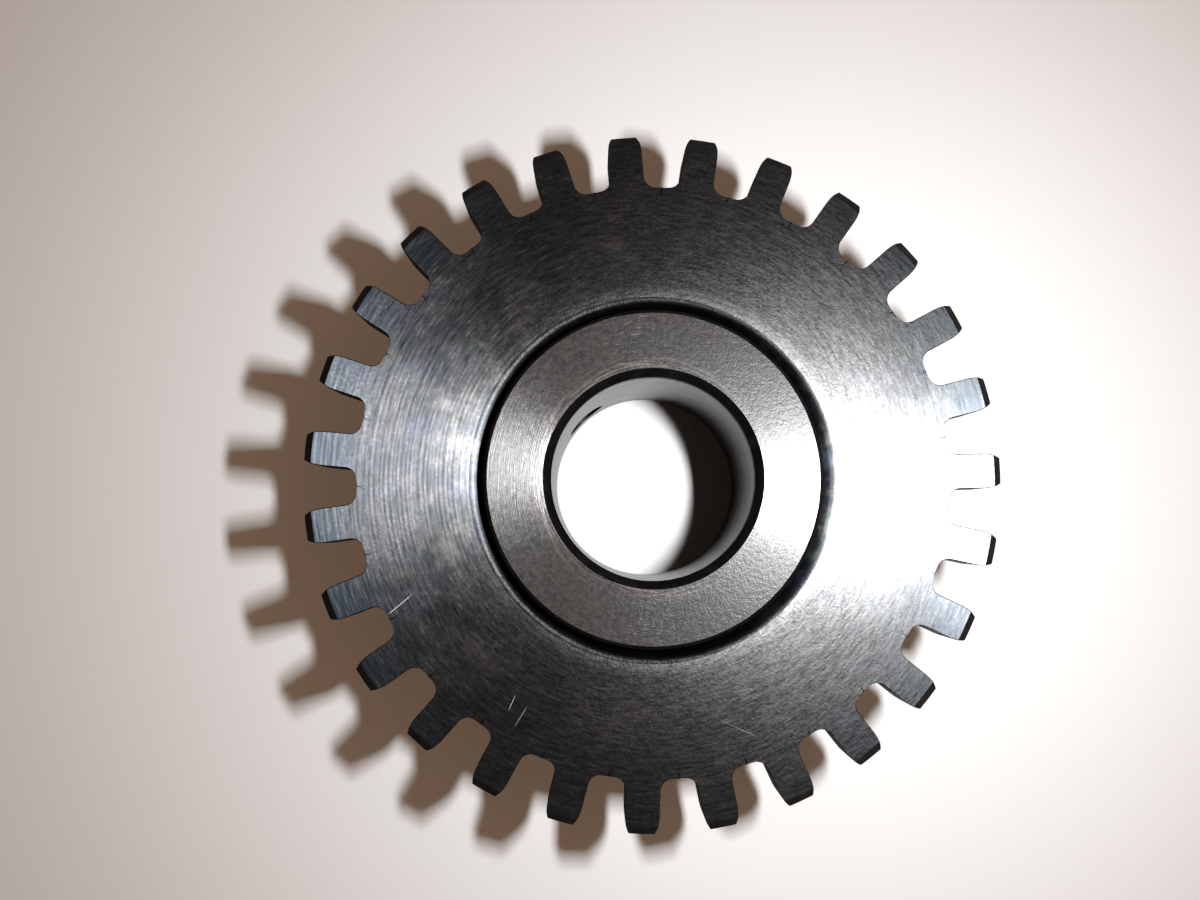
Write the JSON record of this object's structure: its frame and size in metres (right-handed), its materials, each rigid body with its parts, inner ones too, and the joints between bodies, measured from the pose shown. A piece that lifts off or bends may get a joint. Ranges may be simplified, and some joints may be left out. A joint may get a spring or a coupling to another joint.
{
  "type": "spur gear",
  "caption": "Thin toothed plate pressed on a bored hub that stands proud of it, with a lined bore and a radial grub screw.",
  "frame": {"origin": "on the gear's axis, in the plane of the hub's rear face", "axes": "+Z along the axis towards the front face, where the hub stands a little proud of the toothed plate"},
  "size_m": [0.0724, 0.0724, 0.024],
  "materials": {
    "plate_steel": "turned face, blackened, worn bright",
    "hub_steel": "ground end faces, blackened edges",
    "bush_steel": "honed bright",
    "screw_steel": "blackened"
  },
  "bodies": {
    "gear": {"toothed_plate": "plate_steel", "hub_sleeve": "hub_steel", "bore_bush": "bush_steel"},
    "grub_screw": {"grub_screw": "screw_steel"}
  },
  "joints": [
    {"name": "grub_screw_travel", "type": "slide", "parent": "gear", "child": "grub_screw", "axis": [-0.682, 0.7314, 0], "range_m": [-0.001, 0.007]}
  ]
}
